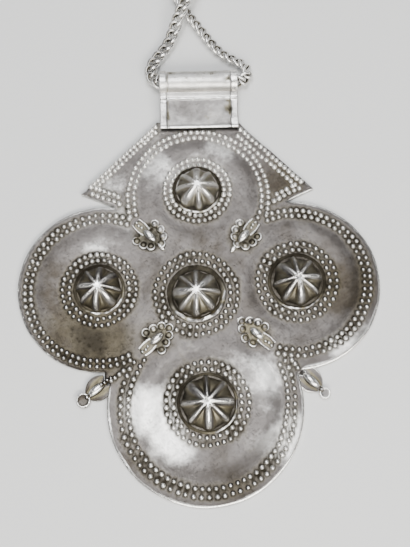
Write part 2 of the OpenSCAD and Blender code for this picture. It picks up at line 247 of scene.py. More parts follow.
def colour_property(name, description, colour):
    """A colour that a user would change."""
    return FloatVectorProperty(
        name=name, description=description, default=colour, subtype="COLOR", min=0.0, max=1.0
    )


class PendantSizes(PropertyGroup):
    """Sizes that shape the pendant's pieces."""

    pearl_radius: length_property("Pearl Radius", "Radius of a raised pearl", 0.6)
    pearl_rise: length_property("Pearl Rise", "Height of a pearl over the sheet", 0.54)
    boss_rise: length_property("Boss Rise", "Height of a fluted boss over the sheet", 5.2)
    flutes: IntProperty(name="Flutes", description="Flutes round a boss", default=8, min=4, max=16)
    flute_depth: FloatProperty(
        name="Flute Depth",
        description="Depth of a valley as a share of its ridge",
        default=0.37,
        min=0.0,
        max=0.7,
        subtype="FACTOR",
    )
    petal_wire: length_property("Petal Wire", "Radius of the petals' wire", 0.2)
    petal_radius: length_property("Petal Radius", "Radius of a petal along its wire", 0.95)
    bail_sheet: length_property("Bail Sheet", "Thickness of the bail's sheet", 0.5)
    link_count: IntProperty(name="Links", description="Links in the loop", default=218, min=20)
    link_wire: length_property("Link Wire", "Radius of the links' wire", 0.5)
    link_length: length_property("Link Length", "Length of a link over its wire", 4.58)
    link_width: length_property("Link Width", "Width of a link over its wire", 3.8)
    link_twist: FloatProperty(
        name="Link Twist",
        description="Turn of each end of a link out of its own plane",
        default=math.radians(43),
        subtype="ANGLE",
    )


class PendantFinish(PropertyGroup):
    """Colours of the silver and of what lies on it, and of the floor."""

    silver: colour_property("Silver", "Rubbed silver", (0.88, 0.86, 0.82))
    dull: colour_property("Dull Silver", "Silver under a thin grey film", (0.112, 0.102, 0.096))
    patina: colour_property("Patina", "Violet brown patina of the fields", (0.043, 0.036, 0.028))
    tarnish: colour_property("Tarnish", "Brown black tarnish of the recesses", (0.024, 0.02, 0.014))
    olive: colour_property(
        "Olive", "Yellowish tarnish between the recesses and the flats", (0.21, 0.182, 0.11)
    )
    floor: colour_property("Floor", "Colour of the floor", (0.72, 0.72, 0.71))


# Mesh helpers


def round_angles(count):
    """Even angles once round, the last one step short of the first."""
    return np.linspace(0, 2 * np.pi, count, endpoint=False)


def smooth(value):
    """The S curve 3t^2 - 2t^3 of a value held between 0 and 1."""
    t = np.clip(value, 0, 1)
    return t * t * (3 - 2 * t)


def bell(distance, width, power=2):
    """A bell curve, e to the minus (distance / width)^power."""
    return np.exp(-((distance / width) ** power))


def unit(vectors):
    """The vectors' directions, each of length one."""
    return vectors / np.linalg.norm(vectors, axis=-1, keepdims=True)


def grid(x, y, z):
    """Points out of their x, y and z, spread over one grid."""
    return np.stack(np.broadcast_arrays(x, y, z), -1)


def ringed(radius, angle, height):
    """Points (r cos a, r sin a, z) round the Z axis."""
    return grid(radius * np.cos(angle), radius * np.sin(angle), height)


def hoops(turn, side, lift):
    """Circles of radius one, cos(turn) along each side and sin(turn) along each lift."""
    return np.cos(turn)[None, :, None] * side[:, None] + np.sin(turn)[None, :, None] * lift[:, None]


def runs(path):
    """Length of the path up to each of its points."""
    return np.concatenate([[0], np.cumsum(np.linalg.norm(np.diff(path, axis=0), axis=1))])


def at_runs(path, run, marks):
    """Points on the path where its length comes to each mark."""
    return np.stack([np.interp(marks, run, column) for column in path.T], -1)


def quads_of_grid(rows, columns):
    """Corner numbers of the faces of a rows by columns grid, whose last column meets its first."""
    row = np.arange(rows - 1)[:, None]
    column = np.arange(columns)[None, :]
    a = row * columns + column
    b = row * columns + (column + 1) % columns
    return np.stack([a, b, b + columns, a + columns], axis=-1).reshape(-1, 4)


def endless_skin(rings):
    """A skin through rings of points (rows, columns, 3), whose last ring meets the first."""
    rows, columns = rings.shape[:2]
    quads = quads_of_grid(rows + 1, columns) % (rows * columns)
    return rings.reshape(-1, 3), quads, np.zeros((0, 3), int)


def fan(ring, pole, flip=False):
    """Triangles between a closed ring of points and a pole, turned over where flip is set."""
    ahead = np.roll(ring, -1)
    tris = np.stack([ring, ahead, np.full_like(ring, pole)], axis=-1)
    return tris[:, ::-1] if flip else tris


def closed_skin(rings, start, end):
    """A skin through rings of points (rows, columns, 3), closed by a pole at each end."""
    rows, columns = rings.shape[:2]
    points = np.concatenate([rings.reshape(-1, 3), np.array([start, end], float)])
    first = np.arange(columns)
    last = first + (rows - 1) * columns
    tris = np.concatenate([fan(first, rows * columns, True), fan(last, rows * columns + 1)])
    return points, quads_of_grid(rows, columns), tris


def signed_volume(points, quads, tris):
    """Volume inside the faces by the sum of tetrahedra on the origin, negative when they face in."""
    whole = np.concatenate([quads[:, [0, 1, 2]], quads[:, [0, 2, 3]], tris])
    a, b, c = (points[whole[:, k]] for k in range(3))
    return float(np.einsum("ij,ij->", a, np.cross(b, c))) / 6


def joined(shapes):
    """One set of points, quads, triangles and values out of several."""
    points, quads, tris, worn_and_lit = [], [], [], []
    start = 0
    for shape in shapes:
        if signed_volume(*shape[:3]) < 0:
            shape = (shape[0], shape[1][:, ::-1], shape[2][:, ::-1], shape[3])
        points.append(shape[0])
        quads.append(shape[1] + start)
        tris.append(shape[2] + start)
        worn_and_lit.append(np.broadcast_to(shape[3], len(shape[0])))
        start += len(shape[0])
    return tuple(np.concatenate(part) for part in (points, quads, tris, worn_and_lit))


def stamped(shape, places, frames=None, sizes=None):
    """Copies of one shape at many places: each point is place + size * (frame times point)."""
    points, quads, tris, worn_and_lit = shape
    count, size = len(places), len(points)
    copies = np.broadcast_to(points, (count, size, 3))
    if frames is not None:
        copies = np.einsum("nij,nkj->nki", frames, copies)
    if sizes is not None:
        copies = copies * sizes[:, None, :]
    copies = copies + places[:, None, :]
    shift = (np.arange(count) * size)[:, None, None]
    return (
        copies.reshape(-1, 3),
        (quads[None] + shift).reshape(-1, 4),
        (tris[None] + shift).reshape(-1, 3),
        np.tile(worn_and_lit, count),
    )


def tube(path, radius, sides, worn_and_lit, closed=False):
    """A round wire along a path: ring k lies across the path's direction, radius[k] from it."""
    path = np.asarray(path, float)
    radius = np.broadcast_to(radius, len(path)).astype(float)
    if closed:
        ahead, behind = np.roll(path, -1, 0), np.roll(path, 1, 0)
    else:
        ahead = np.concatenate([path[1:], 2 * path[-1:] - path[-2:-1]])
        behind = np.concatenate([2 * path[:1] - path[1:2], path[:-1]])
    along = unit(ahead - behind)
    side = unit(np.cross(UP, along))
    ring = hoops(round_angles(sides), side, np.cross(along, side))
    rings = path[:, None] + radius[:, None, None] * ring
    # The wire is painted lighter on its upward side, as rubbed silver and as painted light from above
    shade = np.clip(worn_and_lit + 0.35 * ring[..., 2].ravel(), 0, 1)
    if closed:
        return *endless_skin(rings), shade
    return *closed_skin(rings, path[0], path[-1]), np.concatenate([shade, [worn_and_lit, worn_and_lit]])


def lathed(profile, sides, worn_and_lit):
    """A turned form: each profile row (radius, height) is carried round the Z axis."""
    profile = np.asarray(profile, float)
    rings = ringed(profile[:, :1], round_angles(sides), profile[:, 1:2])
    shade = np.repeat(np.broadcast_to(worn_and_lit, len(profile)), sides)
    skin = closed_skin(rings, (0, 0, profile[0, 1]), (0, 0, profile[-1, 1]))
    return *skin, np.concatenate([shade, shade[[0, -1]]])


def turned(shape, degrees):
    """The shape turned about the Z axis."""
    a = math.radians(degrees)
    spin = np.array([[math.cos(a), -math.sin(a), 0], [math.sin(a), math.cos(a), 0], [0, 0, 1]])
    return (shape[0] @ spin.T,) + tuple(shape[1:])


def moved(shape, x, y, z):
    """The shape moved by x, y and z."""
    return (shape[0] + np.array([x, y, z], float),) + tuple(shape[1:])


def add_piece(name, shape, material, slot, *nodes, tone=0.5):
    """Puts a shape, in millimetres, into a mesh that rides on the pendant and stands for the nodes."""
    points, quads, tris, worn_and_lit = shape
    mesh = bpy.data.meshes.new(name)
    loops = np.concatenate([quads.ravel(), tris.ravel()]).astype(np.int32)
    sizes = np.concatenate([np.full(len(quads), 4), np.full(len(tris), 3)])
    mesh.vertices.add(len(points))
    mesh.vertices.foreach_set("co", (points * MM).astype(np.float32).ravel())
    mesh.loops.add(len(loops))
    mesh.loops.foreach_set("vertex_index", loops)
    mesh.polygons.add(len(sizes))
    starts = np.concatenate([[0], np.cumsum(sizes)[:-1]]).astype(np.int32)
    mesh.polygons.foreach_set("loop_start", starts)
    mesh.polygons.foreach_set("use_smooth", np.ones(len(sizes), bool))
    mesh.update(calc_edges=True)
    mesh.validate()
    layer = mesh.attributes.new("worn_and_lit", "FLOAT", "POINT")
    layer.data.foreach_set("value", np.clip(worn_and_lit, 0, 1).astype(np.float32))
    layer = mesh.attributes.new("tone", "FLOAT", "POINT")
    layer.data.foreach_set("value", np.broadcast_to(tone, len(points)).astype(np.float32))
    mesh.materials.append(material)
    piece = bpy.data.objects.new(name, mesh)
    bpy.context.collection.objects.link(piece)
    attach(piece, "root")
    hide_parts(*nodes)


# Plate and pearls


def ray_exit_circle(angle, centre, radius):
    """How far a ray from the hub runs before it leaves a circle for good, or 0 if it misses."""
    offset = centre - PLATE_HUB
    along = offset[0] * np.cos(angle) + offset[1] * np.sin(angle)
    across = offset @ offset - along**2
    hit = (across < radius**2) & (along > 0)
    return np.where(hit, along + np.sqrt(np.maximum(radius**2 - across, 0)), 0)


def ray_exit_polygon(angle, corners):
    """The farthest crossing of a ray from the hub with the sides of a polygon."""
    far = np.zeros_like(angle)
    direction = np.stack([np.cos(angle), np.sin(angle)], -1)
    for a, b in zip(corners - PLATE_HUB, np.roll(corners, -1, 0) - PLATE_HUB):
        side = b - a
        cross = direction[:, 0] * side[1] - direction[:, 1] * side[0]
        cross = np.where(np.abs(cross) < 1e-9, 1e-9, cross)
        reach = (a[0] * side[1] - a[1] * side[0]) / cross
        share = (a[0] * direction[:, 1] - a[1] * direction[:, 0]) / cross
        far = np.maximum(far, np.where((share >= 0) & (share <= 1) & (reach > 0), reach, 0))
    return far


def plate_outline(count):
    """Points evenly along the plate's outline, and how far each lies from the nearest corner.

    The outline is the farthest that a ray from the hub leaves any lobe, tongue or the straight
    part, less a small wander: the product of two sines.
    """
    rays = 24000
    angle = round_angles(rays)
    far = ray_exit_polygon(angle, TOP_OUTLINE)
    for x, y, radius in np.concatenate([LOBES, TONGUES]):
        far = np.maximum(far, ray_exit_circle(angle, np.array([x, y]), radius))
    wander = 0.5 + 0.5 * np.sin(9 * angle + 1) * np.sin(23 * angle)
    far = far - 0.16 * wander - 0.02
    ring = PLATE_HUB + far[:, None] * np.stack([np.cos(angle), np.sin(angle)], -1)
    loop = np.concatenate([ring, ring[:1]])
    run = runs(loop)
    points = at_runs(loop, run, np.linspace(0, run[-1], count, endpoint=False))
    corners = TOP_OUTLINE[:5]
    near = np.min(np.linalg.norm(points[:, None] - corners[None], axis=2), axis=1)
    return points, near


def relief(x, y):
    """Height of the struck sheet: flat, with a low arch over each field and a soft beaten unevenness."""
    height = np.full(np.shape(x), SHEET_TOP)
    for cx, cy, inner, outer, rise in FIELDS:
        reach = (np.hypot(x - cx, y - cy) - inner) / (outer - inner)
        arch = np.sin(np.pi * np.clip(reach, 0, 1)) ** 1.3
        height = height + rise * arch
    beaten = np.sin(0.9 * x + 0.5 * np.sin(0.7 * y)) * np.sin(0.83 * y + 0.6 * np.sin(0.9 * x + 2))
    return height + 0.018 * beaten


# Where the film on the plate is thick or thin; where it is thinned on the lower-right rims and the lower
# left of the bottom field it paints highlights. Columns: x, y, reach, change
FILM_AND_HIGHLIGHTS = [
    (-36, 3, 9, 0.2),
    (-27, -13, 10, 0.6),
    (-24, 16, 8, -0.3),
    (-12, 2, 6, 0.1),
    (40, 1, 8, 0.5),
    (28, 15, 8, 0.05),
    (13, 4, 6, 0.08),
    (24, 31, 6, 0.4),
    (3, 15, 7, 0.12),
    (-20, -47, 8, 0.3),
    (8, -52, 7, 0.25),
    # This spot paints a highlight on the bottom lobe's lower-right rim
    (30, -46, 6, -0.7),
    (-22, 31, 5, -0.15),
    (-10, 34, 8, -0.34),
    (6, 39, 7, -0.2),
    (12, 29, 6, -0.1),
    (3, -14, 4, -0.12),
    # The next three spots paint a highlight on the lower left of the bottom field
    (-13, -29, 6, -0.6),
    (-6, -39, 6, -0.42),
    (-10, -35, 5, -0.3),
    (16, -23, 8, -0.4),
    # The next three spots paint highlights on the lower-right rims
    (46, -10, 5, -0.4),
    (38, -16, 5, -0.5),
    (25, -38, 7, -0.6),
]

# Darkest places of the fields. Columns: x, y, reach, depth
TARNISH = [(-25, -13, 10, 0.5), (-34, -8, 7, 0.42)]


def film_and_highlight_tone(x, y):
    """Thickness of the film between 0 and 1, with painted highlights where it is thinned on the rims and in
    the bottom field: a middle value and a bell curve at each listed place.
    """
    tone = np.full(np.shape(x), 0.6)
    for cx, cy, reach, change in FILM_AND_HIGHLIGHTS:
        tone = tone + change * np.exp(-((x - cx) ** 2 + (y - cy) ** 2) / reach**2)
    return np.clip(tone, 0, 1)


def pearl_places():
    """Middle, width and height of every pearl in the rows of both tables, each a little uneven."""
    places = []
    for cx, cy, first_r, last_r, first_a, last_a, count in ARC_ROWS:
        share = np.linspace(0, 1, count)
        radius = first_r + (last_r - first_r) * share
        angle = np.radians(first_a + (last_a - first_a) * share)
        places.append(np.stack([cx + radius * np.cos(angle), cy + radius * np.sin(angle)], -1))
    for x0, y0, x1, y1, count in STRAIGHT_ROWS:
        share = np.linspace(0, 1, count)[:, None]
        places.append(np.array([x0, y0]) + (np.array([x1, y1]) - np.array([x0, y0])) * share)
    places = np.concatenate(places)
    noise = np.random.default_rng(SEED)
    places = places + noise.uniform(-0.09, 0.09, places.shape)
    return places, noise.uniform(0.88, 1.08, len(places)), noise.uniform(0.78, 1.0, len(places))


def nearest_pearl(points, pearls):
    """Distance of each point to the nearest pearl, worked out in blocks."""
    blocks = [
        np.min(np.hypot(*(part[:, None, :2] - pearls[None]).transpose(2, 0, 1)), axis=1)
        for part in np.array_split(points, 40)
    ]
    return np.concatenate(blocks)


def darker(dark, gap, depth, rim, width, power=2):
    """The darker of dark and a bell curve of that depth, which falls off beyond the rim."""
    return np.maximum(dark, depth * bell(np.maximum(gap - rim, 0), width, power))


def plate_tarnish_and_shade(points, pearls):
    """Depth of the dark round the pearls, bosses and palmettes, as tarnish and painted shade where they
    meet the sheet, and in the darkest places.
    """

    def gap_to(x, y):
        """Distance of each point from one place."""
        return np.hypot(points[:, 0] - x, points[:, 1] - y)

    # The dark round the pearls, bosses and palmettes is tarnish and painted shade at their feet
    distance = nearest_pearl(points, pearls)
    dark = darker(0, distance, 0.8, 0.5, 0.6)
    dark = darker(dark, distance, 0.5, 0.6, 0.9)
    for x, y, radius, *_ in BOSSES:
        dark = darker(dark, gap_to(x, y) - radius, 0.62, 0.6, 0.7)
    for x, y, *_ in PALMETTES:
        dark = darker(dark, gap_to(x, y), 0.85, 2.2, 2.2)
    for x, y, reach, depth in TARNISH:
        dark = darker(dark, gap_to(x, y), depth, 0, reach, 4)
    return dark


def plate_shape(pearls):
    """The sheet as one closed skin: rows follow the outline inward, then shrink to the hub.

    The first eight rows round off the rubbed edge. The rest lie on relief(x, y).
    """
    count, inner_rows, corner_reach = 1300, 62, 2.2
    ring, near = plate_outline(count)
    along = np.roll(ring, -1, 0) - np.roll(ring, 1, 0)
    inward = unit(np.stack([-along[:, 1], along[:, 0]], -1))
    narrow = np.clip(near / corner_reach, 0.08, 1)[:, None]
    # Columns: way in from the edge, share of the full height, drop below the relief, wear
    edge = [(0.6, 0, 0, 0.5), (0.12, 0, 0, 0.6), (0, 0.12, 0, 0.7), (0, 0.7, 0, 0.9)]
    edge += [(0.06, 1, 0.2, 1), (0.2, 1, 0.09, 1), (0.5, 1, 0.03, 0.85), (0.95, 1, 0, 0.6)]
    rings, wear_and_light = [], []
    for inset, share, drop, worn_and_lit in edge:
        spot = ring + inward * inset * narrow
        rings.append(grid(*spot.T, relief(*spot.T) * share - drop))
        wear_and_light.append(np.full(count, worn_and_lit))
    base = rings[-1][:, :2]
    for share in np.linspace(0, 0.985, inner_rows)[1:]:
        spot = base + (PLATE_HUB - base) * share
        rings.append(grid(*spot.T, relief(*spot.T)))
        wear_and_light.append(np.full(count, 0.5))
    hub_z = float(relief(*PLATE_HUB))
    points, quads, tris = closed_skin(np.array(rings), (*PLATE_HUB, 0), (*PLATE_HUB, hub_z))
    wear_and_light = np.concatenate([np.concatenate(wear_and_light), [0.5, 0.5]])
    # Towards the top of the plate the dark round the pearls is halved, as painted light falling on the top
    halo_share_below_lit_top = 1 - 0.5 * smooth((points[:, 1] - 20) / 16)
    wear_and_light = wear_and_light * (1 - 0.92 * plate_tarnish_and_shade(points, pearls) * halo_share_below_lit_top * (points[:, 2] > 0.9))
    return points, quads, tris, wear_and_light


def pearl_shape(radius, rise):
    """A low round pearl with a flared foot: rings of (radius share, height share) round Z."""
    profile = np.array([[1.25, -0.06], [1.02, 0.12], [0.88, 0.46], [0.6, 0.8], [0.27, 0.97]])
    # The top of each pearl is painted bright, as rubbed silver and as a painted highlight; the sides and
    # foot are darker, as tarnish and as painted shade between the pearls
    worn_and_lit = np.array([0.18, 0.26, 0.46, 0.68, 0.95])
    shape = lathed(profile * np.array([radius, rise]), sides=10, worn_and_lit=worn_and_lit)
    shape[0][-1, 2] = rise
    return shape


# Bosses


def boss_shape(radius, rise, flutes, depth, hub, dent, turn, rubbed):
    """A fluted dome: an arch with round fingers that run from the hub down to a scalloped foot.

    arch = 0.01 + 0.99 (1 - r^2.3)^0.66. A finger is the cosine of the distance from its middle
    line, and the valley between two fingers grows deeper from the hub to the foot. The fingers'
    crests are painted brightest, as rubbed silver and as a painted highlight that fades towards the
    foot and is halved on the upper fingers as painted shade; the valleys are painted darker near the
    foot as painted shade, and the hub is less bright round its middle.
    """
    rows, columns = 58, flutes * 24
    foot, shoulder, scallop = -0.12, 0.07, 0.09
    r = np.concatenate([[1.0], np.linspace(1.0, 0.02, rows)])[:, None]
    angle = round_angles(columns)
    arch = 0.01 + 0.99 * np.maximum(1 - r**2.3, 0) ** 0.66
    step = 2 * np.pi / flutes
    wobble = 0.05 * np.sin(3 * angle + turn) + 0.04 * np.sin(5 * angle + 2 * turn)
    off = np.abs((angle + wobble + step / 2) % step - step / 2)[None, :] * r * radius
    uneven = 1 + 0.12 * np.sin(2 * angle + 1.3 * turn)
    half = (0.66 + 1.1 * r) * uneven
    finger = np.cos(np.pi / 2 * np.minimum(off / half, 1)) ** 1.7
    window = smooth((r - 0.3 * hub / radius) / 0.26)
    tip = smooth((1.0 - r) / 0.07)
    valley = 1 - finger * tip
    height = rise * arch * (1 - depth * window * valley * (0.55 + 0.45 * r))
    height = height + shoulder * rise * smooth((r - 0.5) / 0.35) * finger * tip
    crown = bell(r * radius, 0.75 * hub)
    rough = 0.06 * dent * np.sin(7 * angle + turn) * np.sin(12 * r * radius)
    height = height - dent * crown + rough * bell(r * radius, 1.3 * hub)
    height[0] = foot
    reach = radius * r * (1 - scallop * (1 - finger[:1]) * r**4)
    # Painted light: the crests carry a painted highlight that fades towards the foot, halved on the upper
    # fingers as painted shade, and the valleys are painted darker near the foot as painted shade
    upper = np.clip(np.sin(angle + math.radians(turn)), 0, 1) * smooth((r - 0.12) / 0.4)
    crest = finger**1.6 * tip * (1 - 0.35 * r**2) * (1 - 0.5 * upper)
    wear_and_light = 0.34 + rubbed + (0.62 - rubbed) * crest - 0.4 * bell(r * radius, 0.7)
    wear_and_light = wear_and_light + 0.3 * bell(r * radius, 2.1)
    wear_and_light = wear_and_light - 0.3 * window * r**3 * (1 - finger) - 0.2 * crown * (dent > 0.25)
    skin = closed_skin(ringed(reach, angle, height), (0, 0, foot), (0, 0, float(height[-1].mean())))
    return turned((*skin, np.concatenate([wear_and_light.ravel(), [0.5, float(wear_and_light[-1].mean())]])), turn)


def lip_shape(inner, outer, rise, towards, spread):
    """A rubbed washer round a boss, whose outer edge is lifted and torn on one side.

    The edge's height is a wandering sum of sines under a bell curve about one angle.
    """
    angle = round_angles(160)
    away = (np.degrees(angle) - towards + 180) % 360 - 180
    lifted = bell(away, spread, 4)
    wander = 0.22 * np.sin(5 * angle + towards) + 0.16 * np.sin(11 * angle + 2)
    wander = wander + 0.1 * np.sin(23 * angle)
    torn = 1 - 0.7 * bell(away + 0.45 * spread, 9)
    top = rise * (0.02 + 0.98 * lifted * torn) * (0.85 + wander)
    lean = 0.45 * (outer - inner) * np.sin(4 * angle + 1) * np.sin(3 * angle + towards)
    lean = lean + 0.12 * np.sin(13 * angle + towards)
    # Columns: share of the way out, share of the edge's height, own height, wear
    section = [(0.0, 0, -0.1, 0.4), (0.02, 0, 0.02, 0.4), (0.25, 0.3, 0.02, 0.5), (0.42, 0.85, 0.02, 0.85)]
    section += [(0.56, 1.0, 0, 1.0), (0.88, 0.8, -0.02, 0.95), (1.0, 0.4, -0.06, 0.5), (1.0, 0, -0.12, 0.2)]
    across, share, base, worn_and_lit = np.array(section).T[:, :, None]
    radius = inner + (outer - inner) * across + lean * share * 0.5
    wear_and_light = worn_and_lit * (lifted * (0.8 + wander)) - 0.04
    return *endless_skin(ringed(radius, angle, top * share + base)), wear_and_light.ravel()


# Palmettes and finials


def almond_shape(length, width, rise):
    """Half an almond: at share u of its length it is a half round of width (1 - |u|^2.3)^0.75."""
    stations, ridge_points = 25, 15
    u = np.linspace(-0.985, 0.985, stations)[:, None]
    swell = (1 - np.abs(u) ** 2.3) ** 0.75
    angle = np.linspace(0, np.pi, ridge_points)
    across = np.concatenate([np.cos(angle), [-0.5, 0.5]])
    up = np.concatenate([np.sin(angle) ** 0.85, [-0.25, -0.25]])
    rings = grid(u * length / 2, swell * across * width / 2, swell * up * rise)
    skin = closed_skin(rings, (-length / 2, 0, 0), (length / 2, 0, 0))
    # The almond is painted lighter towards its crest, as rubbed silver and as a painted highlight
    wear_and_light = np.tile(np.clip(0.25 + 0.8 * up, 0, 1), stations)
    return *skin, np.concatenate([wear_and_light, [0.3, 0.6]])


# Cap in a petal. Columns: share of the radius, height, height that fill adds, wear, wear that fill adds
PETAL_CAP = np.array(
    [
        [0.95, -0.1, 0, 0.16, 0.1],
        [0.95, 0.08, 0.2, 0.18, 0.2],
        [0.8, 0.1, 0.4, 0.2, 0.34],
        [0.6, 0.2, 0.5, 0.27, 0.36],
        [0.35, 0.24, 0.6, 0.33, 0.34],
        [0.12, 0.25, 0.62, 0.36, 0.34],
    ]
)


def petal_shape(radius, wire, fill):
    """A petal: a slightly oval ring of wire round a cap that fill raises.

    The wire is thicker and higher on the side away from the almond, and painted brighter there, as rubbed
    silver and as a painted highlight.
    """
    angle = round_angles(24)
    bend = 1 - 0.05 * np.cos(2 * angle)
    lift = 0.34 + 0.1 * np.cos(angle) - 0.06 * fill
    path = ringed(radius * bend, angle, lift)
    ring = tube(path, wire * (1 + 0.35 * np.cos(angle)), sides=8, worn_and_lit=0.24, closed=True)
    # The side away from the almond is painted brighter, as rubbed silver and as a painted highlight
    outward = 0.36 * ring[0][:, 0] / radius
    ring = (*ring[:3], ring[3] + outward)
    share, height, raised, worn_and_lit, rubbed = PETAL_CAP.T
    profile = np.column_stack([share * radius, height + fill * raised])
    return joined([ring, lathed(profile, 20, worn_and_lit + fill * rubbed)])


def leaf_base(index):
    """The thin sheet under a palmette: a disc whose edge reaches round each petal and the tip.

    Where a ray from the middle crosses a petal's round foot, the edge moves out to its far side.
    """
    cx, cy, turn, tip = PALMETTES[index]
    disc_reach, petal_foot, neck_foot, tip_foot = 2.45, 0.9, 0.8, 0.55
    angle = round_angles(180)
    reach = np.full(len(angle), disc_reach)
    feet = [(px - cx, py - cy, petal_foot) for px, py, _ in PETALS[index]]
    if tip > 0:
        ahead = np.array([math.cos(math.radians(turn)), math.sin(math.radians(turn))])
        feet += [(*(ahead * (tip - 1.2)), neck_foot), (*(ahead * tip), tip_foot)]
    for x, y, foot in feet:
        along = x * np.cos(angle) + y * np.sin(angle)
        room = foot**2 - (x * x + y * y - along**2)
        far = along + np.sqrt(np.maximum(room, 0))
        reach = np.where((room > 0) & (along > 0), np.maximum(reach, far), reach)
    # Columns: share of the reach, height, wear
    section = [(1, -0.1, 0.3), (1, 0.12, 0.5), (0.97, 0.2, 0.45), (0.85, 0.16, 0.34), (0.5, 0.14, 0.3)]
    share, height, worn_and_lit = np.array(section).T
    rings = ringed(reach * share[:, None], angle, height[:, None])
    skin = closed_skin(rings, (0, 0, height[0]), (0, 0, height[-1]))
    return *skin, np.concatenate([np.repeat(worn_and_lit, len(angle)), [0.2, 0.3]])


def palmette_shape(index, wire, radius):
    """Almond, wire petals, a stem of two wires with grains between them, and on some a pointed tip."""
    cx, cy, turn, tip = PALMETTES[index]
    almond = moved(turned(almond_shape(*PALMETTE_ALMOND), turn), 0, 0, 0.2)
    shapes = [leaf_base(index), almond]
    for px, py, fill in PETALS[index]:
        x, y = px - cx, py - cy
        petal = petal_shape(radius, wire, fill)
        shapes.append(moved(turned(petal, math.degrees(math.atan2(y, x))), x, y, 0.08))
    run = np.linspace(0, 1, 22)
    thick = 0.27 + 0.035 * np.sin(run * 60)
    for side in (-1, 1):
        path = grid(-5.2 + 4.0 * run, side * (1.15 + 0.25 * np.sin(np.pi * run)), 0.28 + 0.1 * run)
        shapes.append(turned(tube(path, thick, 8, 0.65), turn))
    grain = pearl_shape(0.5, 0.52)
    spots = np.array([[-4.9, 0.05, 0.05], [-3.95, -0.12, 0.05], [-3.05, 0.1, 0.05]])
    shapes.append(turned(stamped(grain, spots), turn))
    foot = [(1.3, -0.1), (1.3, 0.1), (1.1, 0.16), (0.5, 0.15)]
    foot = lathed(foot, 24, np.array([0.3, 0.5, 0.4, 0.35]))
    foot = (foot[0] * np.array([1.9, 1.1, 1]), *foot[1:])
    shapes.append(turned(moved(foot, -3.0, 0, 0), turn))
    if tip > 0:
        point = moved(almond_shape(*TIP_ALMOND), tip - 0.8, 0, 0.15)
        shapes.append(turned(point, turn))
    return moved(joined(shapes), cx, cy, SEAT)


def finial_leaf(length, width, side, rubbed):
    """A shell-like leaf: thickest inside its edge, with a rolled rim that is rubbed more or less.

    At share u of its length it reaches width (1 - |u|^2.1)^0.8 to either side.
    """
    stations, section_points = 33, 26
    u = np.linspace(-0.97, 0.97, stations)[:, None]
    half = width * (1 - np.abs(u) ** 2.1) ** 0.8
    section = round_angles(section_points)
    across = np.cos(section)
    top = np.sin(section)
    rim = 0.22 * bell(np.abs(across) - 0.86, 0.1) * (top > 0)
    up = np.where(top > 0, 0.42 * np.maximum(top, 0) ** 0.5 + rim, 0.5 * np.clip(top * 4, -1, 0))
    rings = grid(u * length / 2, half * across, (0.55 + 0.45 * (1 - u**2)) * up + 0.62)
    skin = closed_skin(rings, (-length / 2, 0, 0.6), (length / 2, 0, 0.6))
    wear_and_light = 0.42 + 0.5 * (np.abs(across) - 0.55) + rubbed * smooth((np.abs(across) - 0.72) / 0.14)
    wear_and_light = np.tile(np.clip(wear_and_light, 0, 1), stations)
    return moved(turned((*skin, np.concatenate([wear_and_light, [0.4, 0.7]])), -8 * side), 3.15, 1.3 * side, 0)


def finial_shape(index):
    """Two leaves, a fat almond on a round spine between them, a grain and a disc with a rolled rim.

    Only the first finial has a row of grains before its almond.
    """
    x, y, turn, reach, disc, film = FINIALS[index]
    rubbed = 0.9 * (0.95 - film)
    shapes = [finial_leaf(LEAF_LENGTH, LEAF_REACH, side, rubbed) for side in (-1, 1)]
    shapes.append(moved(almond_shape(*FINIAL_ALMOND), 3.4, 0, 1.0))
    spine = [(-0.2, 0, 0.6), (1.5, 0, 0.7), (3.5, 0, 0.75), (5.5, 0, 0.72), (reach - 0.6, 0, 0.7)]
    shapes.append(tube(spine, np.array([0.5, 0.6, 0.6, 0.55, 0.5]), 10, 0.35))
    grain = pearl_shape(0.52, 0.62)
    shapes.append(moved(grain, reach - 1.25, 0, 1.35))
    if index == 0:
        row = np.array([[-1.1, 0.1, 1.28], [-0.1, -0.05, 1.3], [0.85, 0.05, 1.55], [1.75, 0, 2.0]])
        shapes.append(stamped(grain, row))
    profile = [(disc - 0.35, 0.14), (disc - 0.08, 0.3), (disc, 0.75), (disc - 0.1, 1.25)]
    profile += [(disc - 0.3, 1.42), (disc - 0.55, 1.24), (disc * 0.4, 1.2), (0.2, 1.22)]
    wear_and_light = np.array([0.4, 0.5, 0.6, 0.65, 0.7, 0.4, 0.3, 0.3]) + rubbed
    shapes.append(moved(lathed(profile, 40, wear_and_light), reach, 0, 0))
    return moved(turned(joined(shapes), turn), x, y, 0)


# Bail


def bail_path():
    """Middle line of the bail's sheet in Y and Z: up the flap, then once round the chain."""
    flap = np.stack([np.linspace(45.8, 54.4, 30), np.linspace(2.3, 2.85, 30)], -1)
    turn = np.linspace(math.radians(176), math.radians(-168), 90)
    loop = BAIL_AXIS + BAIL_RADIUS * np.stack([np.cos(turn), np.sin(turn)], -1)
    return np.concatenate([flap, loop])


